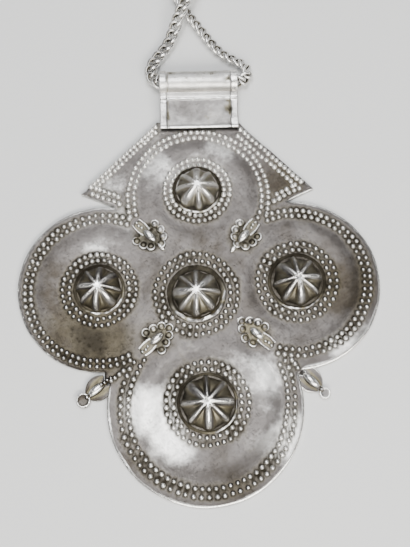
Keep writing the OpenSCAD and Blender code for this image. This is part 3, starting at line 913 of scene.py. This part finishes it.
def bail_shape(sheet):
    """A sheet swept along the bail's section: each station is a thin loop across its width.

    Raised strips at both ends, a groove beside them, a rolled lip, a solder ridge at the crease
    and a few dents all change the height of the outer face.
    """
    path, width, crease, bevel = bail_path(), BAIL_W, BAIL_CREASE, 0.12
    strip_rise, groove_depth, ridge_rise, lip_rise = 0.15, 0.08, 0.24, 0.13
    strip_width, groove_at, groove_width = 1.95, 2.2, 0.22
    run = runs(path)
    at = np.concatenate([np.linspace(0, 1.2, 8), np.linspace(1.2, run[-1], 132)[1:]])
    path = at_runs(path, run, at)
    along = unit(np.gradient(path, at, axis=0))
    out = np.stack([-along[:, 1], along[:, 0]], -1)
    near_end = np.linspace(bevel, 2.4, 14)
    far_end = np.linspace(width - 2.4, width - bevel, 14)
    x = np.concatenate([near_end, np.linspace(2.6, width - 2.6, 44), far_end])
    s, across = at[:, None], x[None, :]
    left = smooth((strip_width - across) / 0.25)
    ragged = 2.0 + 0.12 * np.sin(0.9 * s) + 0.06 * np.sin(3.1 * s + 1)
    right = smooth((across - (width - ragged)) / 0.3)
    groove = bell(across - groove_at, groove_width)
    groove = groove + 0.8 * bell(across - width + ragged + 0.25, 0.25)
    ridge = bell(s - crease, 0.36) * (1 + 0.25 * np.sin(2.3 * across) * np.sin(0.9 * across))
    lip = bell(s - 0.35, 0.42)
    height = strip_rise * (left + right) - groove_depth * groove
    height = height + ridge_rise * ridge + lip_rise * lip
    dents = np.zeros_like(height)
    for dx, ds, size, depth in BAIL_DENTS:
        dents = dents + depth * np.exp(-(((across - dx) ** 2 + (s - ds) ** 2) / size**2))
    height = height - dents + 0.02 * np.sin(1.1 * across + 0.8 * s) * np.sin(0.7 * s - 0.5 * across)
    patchy = 0.5 + 0.5 * np.sin(1.3 * s + 2) * np.sin(0.5 * s)
    wear_and_light = 0.62 + 0.2 * (left + right) - 0.34 * np.clip(groove, 0, 1) * patchy
    # The solder ridge at the crease is painted bright, as rubbed silver and as a painted highlight, and the
    # lip as rubbed silver
    wear_and_light = wear_and_light + 0.5 * ridge + 0.5 * lip - 1.6 * dents
    wear_and_light = wear_and_light - 0.04 * smooth((crease - 0.3 - s) / 0.8) * (1 - left - right)
    # The tube just above the crease is painted darker, as painted shade on its lower front
    wear_and_light = wear_and_light - 0.04 * smooth((s - crease - 0.5) / 0.5) * smooth((crease + 3.4 - s) / 2.2)
    wear_and_light = wear_and_light - 0.25 * right * bell(s - crease - 1.6, 1.1)

    def face(out_by):
        """The sheet's points that far out from its middle line."""
        return grid(across, path[:, :1] + out[:, :1] * out_by, path[:, 1:] + out[:, 1:] * out_by)

    front, back = face(sheet / 2 + height - 0.02), face(-sheet / 2)
    near_mid = (front[:, :1] + back[:, :1]) / 2 - np.array([bevel, 0, 0])
    far_mid = (front[:, -1:] + back[:, -1:]) / 2 + np.array([bevel, 0, 0])
    rings = np.concatenate([near_mid, front, far_mid, back[:, ::-1]], axis=1)
    inside = np.full_like(wear_and_light, 0.15)
    shade = np.concatenate([wear_and_light[:, :1] + 0.2, wear_and_light, wear_and_light[:, -1:] + 0.2, inside], axis=1)
    skin = closed_skin(rings, rings[0].mean(0), rings[-1].mean(0))
    return moved((*skin, np.concatenate([shade.ravel(), [0.8, 0.2]])), BAIL_X, 0, 0)


# Chain


def chain_line(steps=40):
    """Points along the closed uniform cubic B-spline that the route steers."""
    t = np.arange(len(CHAIN_ROUTE) * steps) / steps
    i = np.floor(t).astype(int)
    f = (t - i)[:, None]
    a, b, c, d = (CHAIN_ROUTE[(i + k) % len(CHAIN_ROUTE)] for k in (-1, 0, 1, 2))
    first, second = a * (1 - f) ** 3, b * (3 * f**3 - 6 * f**2 + 4)
    third, fourth = c * (1 + 3 * f + 3 * f**2 - 3 * f**3), d * f**3
    return (first + second + third + fourth) / 6


def link_places(count):
    """Middle and frame of every link, each between two even marks on the chain's line.

    The frame's columns are along the chain, across it and up. They are rolled 45 degrees, give or
    take a sine, which falls to 12 degrees on the left strand.
    """
    line = chain_line()
    loop = np.concatenate([line, line[:1]])
    run = runs(loop)
    hinge = at_runs(loop, run, np.linspace(0, run[-1], count, endpoint=False))
    ahead = np.roll(hinge, -1, 0)
    along = unit(ahead - hinge)
    side = unit(np.cross(UP, along))
    up = np.cross(along, side)
    share = np.arange(count) / count
    flat = smooth((share - 0.78) / 0.08)
    roll = np.radians(45 - 33 * flat + 3 * np.sin(2 * np.pi * 13 * share))
    across = np.cos(roll)[:, None] * side + np.sin(roll)[:, None] * up
    return (hinge + ahead) / 2, np.stack([along, across, np.cross(along, across)], -1)


def link_shape(length, width, wire, twist):
    """A curb link: a squarish oval, rolled about its long way by twist times cos t.

    The oval is (a sign(cos t) |cos t|^0.85, b sin t), and its wire has six sides.
    """
    stations, sides = 16, 6
    t = round_angles(stations)
    a, b = length / 2 - wire, width / 2 - wire
    roll = twist * np.cos(t)
    x = a * np.sign(np.cos(t)) * np.abs(np.cos(t)) ** 0.85
    y = b * np.sin(t)
    path = grid(x, y * np.cos(roll), y * np.sin(roll))
    ahead = unit(np.roll(path, -1, 0) - np.roll(path, 1, 0))
    outward = unit(path)
    outward = unit(outward - ahead * np.sum(outward * ahead, axis=1, keepdims=True))
    turn = round_angles(sides)
    rings = path[:, None] + wire * hoops(turn, outward, np.cross(ahead, outward))
    # The wire is painted darker on the inside of each link, as tarnish and as painted shade in the link's
    # hole
    wear_and_light = np.clip(0.55 + 0.45 * np.tile(np.cos(turn), stations), 0, 1)
    return *endless_skin(rings), wear_and_light


# Materials


class Nodes:
    """Short calls that add and join the nodes of one tree."""

    def __init__(self, tree):
        self.add_node = tree.nodes.new
        self.join = tree.links.new

    def put(self, kind, inputs=None, **settings):
        """A new node with its settings, and each input joined to a socket or set to a value."""
        node = self.add_node(kind)
        for key, value in settings.items():
            setattr(node, key, value)
        for key, value in (inputs or {}).items():
            socket = node.inputs[key]
            if isinstance(value, bpy.types.NodeSocket):
                self.join(value, socket)
            else:
                socket.default_value = value
        return node

    def maths(self, operation, a, b):
        """One sum, product or the like of two values."""
        return self.put("ShaderNodeMath", {0: a, 1: b}, operation=operation).outputs[0]

    def mix(self, share, a, b):
        """Colour a, turned into colour b as the share goes from 0 to 1."""
        a, b = (v if isinstance(v, bpy.types.NodeSocket) else (*v[:3], 1.0) for v in (a, b))
        return self.put("ShaderNodeMix", {0: share, 6: a, 7: b}, data_type="RGBA").outputs[2]

    def ramp(self, value, low, high):
        """0 up to low, 1 from high on, and an S curve between them."""
        limits = {"Value": value, "From Min": low, "From Max": high}
        return self.put("ShaderNodeMapRange", limits, interpolation_type="SMOOTHSTEP").outputs["Result"]

    def noise(self, place, scale, detail, roughness):
        """Cloudy noise between 0 and 1."""
        inputs = {"Vector": place, "Scale": scale, "Detail": detail, "Roughness": roughness}
        return self.put("ShaderNodeTexNoise", inputs).outputs[0]

    def squeezed(self, place, turn, share):
        """The place turned about Z, where a pattern shrinks along Y to that share and so forms lines."""
        inputs = {"Vector": place, "Rotation": (0.0, 0.0, turn), "Scale": (1.0, share, 1.0)}
        return self.put("ShaderNodeMapping", inputs, vector_type="TEXTURE").outputs[0]


def new_group(name, inputs, outputs):
    """An empty shader node group with sockets of plain numbers, and its input and output nodes."""
    group = bpy.data.node_groups.new(name, "ShaderNodeTree")
    for label, value in inputs.items():
        socket = group.interface.new_socket(label, in_out="INPUT", socket_type="NodeSocketFloat")
        socket.default_value = value
    for label in outputs:
        group.interface.new_socket(label, in_out="OUTPUT", socket_type="NodeSocketFloat")
    nodes = Nodes(group)
    return group, nodes, nodes.put("NodeGroupInput"), nodes.put("NodeGroupOutput")


def new_material(name):
    """A material, its nodes and its Principled BSDF."""
    material = bpy.data.materials.new(name)
    material.use_nodes = True
    return material, Nodes(material.node_tree), material.node_tree.nodes["Principled BSDF"]


def film_group():
    """Blotchy film on old silver: broad clouds, small specks and streaks, each a mask."""
    names = ("Clouds", "Specks", "Streaks")
    group, nodes, given, out = new_group("Silver Film", {"Scale": 1.0}, names)
    place = nodes.put("ShaderNodeTexCoord").outputs["Object"]
    scaled = {0: place, "Scale": given.outputs["Scale"]}
    place = nodes.put("ShaderNodeVectorMath", scaled, operation="SCALE").outputs[0]
    drawn = nodes.squeezed(place, 0.6, 0.3)
    # Columns: where the noise is read, its scale, detail and roughness, the mask's lower and upper end
    masks = (
        (place, 95.0, 5.0, 0.62, 0.34, 0.66),
        (place, 900.0, 4.0, 0.7, 0.5, 0.72),
        (drawn, 260.0, 3.0, 0.6, 0.42, 0.68),
    )
    for name, (spot, scale, detail, roughness, low, high) in zip(names, masks):
        noise = nodes.noise(spot, scale, detail, roughness)
        nodes.join(nodes.ramp(noise, low, high), out.inputs[name])
    return group


def scratch_group():
    """Height of fine scratches in two directions, of a soft beaten surface and of a fine grain."""
    scratch_depth, grain_height = 0.12, 0.05
    group, nodes, given, out = new_group("Silver Surface", {"Scratches": 0.4, "Beaten": 0.6}, ("Height",))
    place = nodes.put("ShaderNodeTexCoord").outputs["Object"]
    lines = []
    for turn, scale in ((0.5, 900.0), (-0.9, 700.0)):
        noise = nodes.noise(nodes.squeezed(place, turn, 0.05), scale, 2.0, 0.5)
        lines.append(nodes.ramp(noise, 0.62, 0.72))
    cut = nodes.maths("MULTIPLY", nodes.maths("MAXIMUM", *lines), given.outputs["Scratches"])
    swell = nodes.maths("MULTIPLY", nodes.noise(place, 240.0, 2.0, 0.4), given.outputs["Beaten"])
    grain = nodes.maths("MULTIPLY", nodes.noise(place, 1700.0, 2.0, 0.6), grain_height)
    height = nodes.maths("SUBTRACT", swell, nodes.maths("MULTIPLY", cut, scratch_depth))
    nodes.join(nodes.maths("ADD", height, grain), out.inputs["Height"])
    return group


def silver_material(name, finish, film, surface, values):
    """Old silver: tarnish and painted shade in the recesses, patina and film on the flats, rubbed metal and
    painted highlights on the heights.

    The mesh's own value of wear and light says how high and how rubbed a place is, with painted
    highlights and painted shade in it, and its value "tone" how thick the film on the flats is, with
    some painted highlights and painted shade in it as well.
    """
    material, nodes, shader = new_material(name)
    maths, mix, ramp = nodes.maths, nodes.mix, nodes.ramp
    worn_and_lit = nodes.put("ShaderNodeAttribute", attribute_name="worn_and_lit").outputs["Fac"]
    tone = nodes.put("ShaderNodeAttribute", attribute_name="tone").outputs["Fac"]
    masks = nodes.put("ShaderNodeGroup", {"Scale": values["film_scale"]}, node_tree=film).outputs
    cloudy = maths("SUBTRACT", masks["Clouds"], 0.5)
    wear_and_light = maths("ADD", worn_and_lit, maths("MULTIPLY", cloudy, values["clouds"]))
    wear_and_light = maths("SUBTRACT", wear_and_light, maths("MULTIPLY", masks["Specks"], values["specks"]))
    film_depth = maths("ADD", tone, maths("MULTIPLY", cloudy, values["patina"]))
    flat = mix(ramp(film_depth, 0.0, 0.5), finish.silver, finish.dull)
    flat = mix(ramp(film_depth, 0.5, 1.0), flat, finish.patina)
    flat = mix(maths("MULTIPLY", masks["Streaks"], values["streaks"]), flat, finish.silver)
    high = ramp(wear_and_light, values["rub_low"], values["rub_high"])
    low = ramp(wear_and_light, values["dark_low"], values["dark_high"])
    olive_low = values["dark_high"] - values["olive_before"]
    edge = ramp(wear_and_light, olive_low, values["dark_high"] + values["olive_beyond"])
    colour = mix(high, flat, finish.silver)
    colour = mix(edge, mix(values["olive"], colour, finish.olive), colour)
    nodes.join(mix(low, finish.tarnish, colour), shader.inputs["Base Color"])
    shader.inputs["Metallic"].default_value = 1.0
    rough = mix(high, (values["rough"],) * 3, (values["polish"],) * 3)
    rough = mix(low, (values["rough_tarnish"],) * 3, rough)
    nodes.join(rough, shader.inputs["Roughness"])
    given = {"Scratches": values["scratches"], "Beaten": values["beaten"]}
    height = nodes.put("ShaderNodeGroup", given, node_tree=surface).outputs["Height"]
    given = {"Height": height, "Distance": values["bump"] * MM, "Strength": 1.0}
    bump = nodes.put("ShaderNodeBump", given)
    nodes.join(bump.outputs["Normal"], shader.inputs["Normal"])
    return material


# What the silver is like where a piece doesn't say otherwise. Wear and masks run from 0 to 1
SILVER = {
    "film_scale": 1.0,
    "clouds": 0.22,
    "specks": 0.16,
    "patina": 0.3,
    "streaks": 0.05,
    "olive": 0.7,
    "olive_before": 0.12,
    "olive_beyond": 0.06,
    "rub_low": 0.62,
    "rub_high": 0.95,
    "dark_low": 0.05,
    "dark_high": 0.42,
    "rough": 0.42,
    "rough_tarnish": 0.62,
    "polish": 0.24,
    "scratches": 0.5,
    "beaten": 0.5,
    "bump": 0.25,
}


def finish_for(name, **changes):
    """The material of that name, made the first time it is asked for."""
    known = bpy.data.materials.get(name)
    if known:
        return known
    film = bpy.data.node_groups.get("Silver Film") or film_group()
    surface = bpy.data.node_groups.get("Silver Surface") or scratch_group()
    finish = bpy.context.scene.pendant_finish
    return silver_material(name, finish, film, surface, {**SILVER, **changes})


# Operators


class PENDANT_OT_plate(Operator):
    """Strikes the plate and raises its rows of pearls"""

    bl_idname = "pendant.plate"
    bl_label = "Plate"

    def execute(self, context):
        sizes = context.scene.pendant_sizes
        pearls, widths, heights = pearl_places()
        metal = finish_for(
            "Plate Silver",
            patina=0.3,
            streaks=0.01,
            dark_low=0.04,
            dark_high=0.38,
            specks=0.11,
            olive=0.15,
            beaten=0.85,
            scratches=0.8,
        )
        sheet = plate_shape(pearls)
        tone = film_and_highlight_tone(sheet[0][:, 0], sheet[0][:, 1])
        add_piece("struck_plate", sheet, metal, "plate_silver", "plate", tone=tone)
        grain = pearl_shape(sizes.pearl_radius / MM, sizes.pearl_rise / MM)
        feet = np.column_stack([pearls, relief(pearls[:, 0], pearls[:, 1])])
        scale = np.column_stack([widths, widths, heights])
        row_metal = finish_for("Pearl Silver", beaten=0.2, specks=0.1, dark_high=0.3)
        *rows, worn_and_lit = stamped(grain, feet, sizes=scale)
        x, y = rows[0][:, 0], rows[0][:, 1]
        # Pearls high up the plate are painted brighter and with less film, as rubbed silver and as painted
        # light from above
        high_up = smooth((y - 16) / 18)
        rows = (*rows, np.minimum(worn_and_lit + 0.3 * high_up, 1))
        tone = 0.5 * film_and_highlight_tone(x, y) * (1 - 0.8 * high_up)
        add_piece("raised_pearls", rows, row_metal, "plate_silver", "plate", tone=tone)
        return {"FINISHED"}


class PENDANT_OT_bosses(Operator):
    """Sets the five fluted bosses, each in its torn lip"""

    bl_idname = "pendant.bosses"
    bl_label = "Bosses"

    def execute(self, context):
        sizes = context.scene.pendant_sizes
        metal = finish_for(
            "Boss Silver", dark_low=-0.1, dark_high=0.5, polish=0.22, beaten=0.2, specks=0.08
        )
        rise = sizes.boss_rise / MM - 0.02
        for node, (x, y, radius, *look), lip in zip(BOSS_NODES, BOSSES, LIPS):
            dome = boss_shape(radius, rise, sizes.flutes, sizes.flute_depth, *look)
            shape = moved(joined([dome, lip_shape(*lip)]), x, y, SEAT)
            add_piece(node + "_dome", shape, metal, "boss_silver", node, tone=0.34 - look[-1])
        return {"FINISHED"}


class PENDANT_OT_palmettes(Operator):
    """Lays the four palmettes of almond, wire petals and stem"""

    bl_idname = "pendant.palmettes"
    bl_label = "Palmettes"

    def execute(self, context):
        sizes = context.scene.pendant_sizes
        metal = finish_for("Palmette Silver", dark_low=0.1, dark_high=0.5, beaten=0.2)
        for index, node in enumerate(PALMETTE_NODES):
            shape = palmette_shape(index, sizes.petal_wire / MM, sizes.petal_radius / MM)
            add_piece(node + "_wires", shape, metal, "palmette_silver", node, tone=0.35)
        return {"FINISHED"}


class PENDANT_OT_finials(Operator):
    """Adds the two finials between the lobes"""

    bl_idname = "pendant.finials"
    bl_label = "Finials"

    def execute(self, context):
        metal = finish_for("Finial Silver", dark_low=-0.1, dark_high=0.36, rub_low=0.72)
        for index, node in enumerate(FINIAL_NODES):
            film = FINIALS[index][-1]
            add_piece(node + "_bud", finial_shape(index), metal, "finial_silver", node, tone=film)
        return {"FINISHED"}


class PENDANT_OT_bail(Operator):
    """Bends the bail from one sheet round the chain"""

    bl_idname = "pendant.bail"
    bl_label = "Bail"

    def execute(self, context):
        sizes = context.scene.pendant_sizes
        metal = finish_for("Bail Silver", scratches=0.6, rub_low=0.6, patina=0.14, streaks=0.02)
        shape = bail_shape(sizes.bail_sheet / MM)
        y, z = shape[0][:, 1], shape[0][:, 2]
        # The crease term paints shade on the tube's lower front above the crease, and the under term paints
        # shade on the low parts of the sheet near the floor; the flap term is the flap's thicker film
        flap = 0.22 * smooth((54.2 - y) / 0.6)
        crease = 0.08 * smooth((57.4 - y) / 1.5) * smooth((y - 54.8) / 0.8)
        under = 0.1 * smooth((2.5 - z) / 2)
        tone = 0.16 + flap + crease + under
        add_piece("bail_sheet", shape, metal, "bail_silver", "bail", tone=tone)
        return {"FINISHED"}


class PENDANT_OT_chain(Operator):
    """Hangs every link of the curb chain on its line, in two halves that meet"""

    bl_idname = "pendant.chain"
    bl_label = "Chain"

    def execute(self, context):
        sizes = context.scene.pendant_sizes
        count = sizes.link_count
        link = link_shape(
            sizes.link_length / MM, sizes.link_width / MM, sizes.link_wire / MM, sizes.link_twist
        )
        middles, frames = link_places(count)
        metal = finish_for("Chain Silver", dark_high=0.35, beaten=0.1, scratches=0.3)
        # The twisted links stand out by up to 0.15 mm beyond the CAD model's box, and are flattened there
        low, high = np.array([list(corner) for corner in CAD_BOUNDS]) / MM
        for node, part in (("chain_right", slice(0, count // 2)), ("chain_left", slice(count // 2, count))):
            points, *rest = joined([stamped(link, middles[part], frames[part])])
            shape = (np.clip(points, low, high), *rest)
            add_piece(node + "_links", shape, metal, "chain_silver", node, tone=0.2)
        return {"FINISHED"}


# Area lights, all aimed at the origin. Columns: name, place, width and height, watts, colour
LIGHTS = [
    ("soft_top", (-0.04, 0.17, 0.7), (0.42, 0.38), 4.3, (0.95, 0.97, 1.0)),
    ("soft_front", (0.06, -0.52, 0.44), (0.5, 0.34), 5.8, (1.0, 0.98, 0.93)),
    ("soft_right", (0.36, -0.36, 0.42), (0.28, 0.26), 2.4, (1.0, 0.99, 0.95)),
    ("soft_back", (0.05, 0.62, 0.38), (0.34, 0.14), 0.7, (0.95, 0.97, 1.0)),
    ("small_key", (-0.1, 0.02, 0.8), (0.06, 0.06), 1.1, (1.0, 1.0, 0.98)),
]
WORLD_COLOUR = (0.66, 0.68, 0.72, 1.0)
WORLD_STRENGTH = 0.3

# The photograph's camera: its place, what it looks at, its upward direction and its angle of view
EYE = Vector((0.96, -53.7, 221.4)) * MM
AIM = Vector((2.35, 5.33, 1.2)) * MM
PHOTO_UP = Vector((0.0236, 0.9997, 0.0))
VIEW_ANGLE = math.radians(34.64)

# The floor: half its side in metres, and how far it lies under the pendant
FLOOR_REACH = 2.0
FLOOR_DROP = 0.02 * MM


def area_light(name, place, size, watts, colour):
    """A rectangular lamp that shines at the origin."""
    light = bpy.data.lights.new(name, "AREA")
    light.shape = "RECTANGLE"
    light.size, light.size_y = size
    light.energy = watts
    light.color = colour
    lamp = bpy.data.objects.new(name, light)
    lamp.location = place
    lamp.rotation_euler = (-Vector(place)).to_track_quat("-Z", "Y").to_euler()
    bpy.context.collection.objects.link(lamp)


class PENDANT_OT_stage(Operator):
    """Lays the pale floor and sets the soft lights and the camera"""

    bl_idname = "pendant.stage"
    bl_label = "Stage"

    def execute(self, context):
        mesh = bpy.data.meshes.new("floor")
        corners = [(-1, -1), (1, -1), (1, 1), (-1, 1)]
        corners = [(x * FLOOR_REACH, y * FLOOR_REACH, -FLOOR_DROP) for x, y in corners]
        mesh.from_pydata(corners, [], [(0, 1, 2, 3)])
        floor = bpy.data.objects.new("floor", mesh)
        context.collection.objects.link(floor)
        material, nodes, shader = new_material("Floor Paper")
        tone = context.scene.pendant_finish.floor
        shader.inputs["Base Color"].default_value = (*tone, 1.0)
        shader.inputs["Roughness"].default_value = 0.8
        place = nodes.put("ShaderNodeTexCoord").outputs["Object"]
        weave = nodes.noise(place, 900.0, 3.0, 0.5)
        bump = nodes.put("ShaderNodeBump", {"Height": weave, "Distance": 0.05 * MM})
        nodes.join(bump.outputs["Normal"], shader.inputs["Normal"])
        mesh.materials.append(material)

        world = bpy.data.worlds.new("Studio")
        world.use_nodes = True
        background = world.node_tree.nodes["Background"]
        background.inputs["Color"].default_value = WORLD_COLOUR
        background.inputs["Strength"].default_value = WORLD_STRENGTH
        context.scene.world = world
        for light in LIGHTS:
            area_light(*light)

        camera = bpy.data.cameras.new("photo_view")
        camera.sensor_fit = "VERTICAL"
        camera.angle = VIEW_ANGLE
        camera.clip_start = 0.01
        viewer = bpy.data.objects.new("photo_view", camera)
        back = (EYE - AIM).normalized()
        right = PHOTO_UP.cross(back).normalized()
        turn = Matrix((right, back.cross(right), back)).transposed().to_4x4()
        viewer.matrix_world = Matrix.Translation(EYE) @ turn
        context.collection.objects.link(viewer)
        context.scene.camera = viewer
        return {"FINISHED"}


class PENDANT_PT_panel(Panel):
    """Lists the pendant's pieces and their sizes"""

    bl_idname = "PENDANT_PT_panel"
    bl_label = "Hamsa Pendant"
    bl_space_type = "VIEW_3D"
    bl_region_type = "UI"
    bl_category = "Pendant"

    def draw(self, context):
        column = self.layout.column()
        for operator in OPERATORS:
            column.operator(operator.bl_idname)
        for group in (context.scene.pendant_sizes, context.scene.pendant_finish):
            box = self.layout.box()
            for name in group.__annotations__:
                box.prop(group, name)


OPERATORS = (
    PENDANT_OT_plate,
    PENDANT_OT_bosses,
    PENDANT_OT_palmettes,
    PENDANT_OT_finials,
    PENDANT_OT_bail,
    PENDANT_OT_chain,
    PENDANT_OT_stage,
)
CLASSES = (PendantSizes, PendantFinish) + OPERATORS + (PENDANT_PT_panel,)


def register():
    """Registers the classes and gives each scene its sizes and colours."""
    for entry in CLASSES:
        bpy.utils.register_class(entry)
    bpy.types.Scene.pendant_sizes = PointerProperty(type=PendantSizes)
    bpy.types.Scene.pendant_finish = PointerProperty(type=PendantFinish)


def unregister():
    """Takes away what register has added."""
    del bpy.types.Scene.pendant_finish
    del bpy.types.Scene.pendant_sizes
    for entry in reversed(CLASSES):
        bpy.utils.unregister_class(entry)


def main():
    """Builds the whole pendant and its stage."""
    register()
    for step in (
        bpy.ops.pendant.plate,
        bpy.ops.pendant.bosses,
        bpy.ops.pendant.palmettes,
        bpy.ops.pendant.finials,
        bpy.ops.pendant.bail,
        bpy.ops.pendant.chain,
        bpy.ops.pendant.stage,
    ):
        step()


if __name__ == "__main__":
    main()
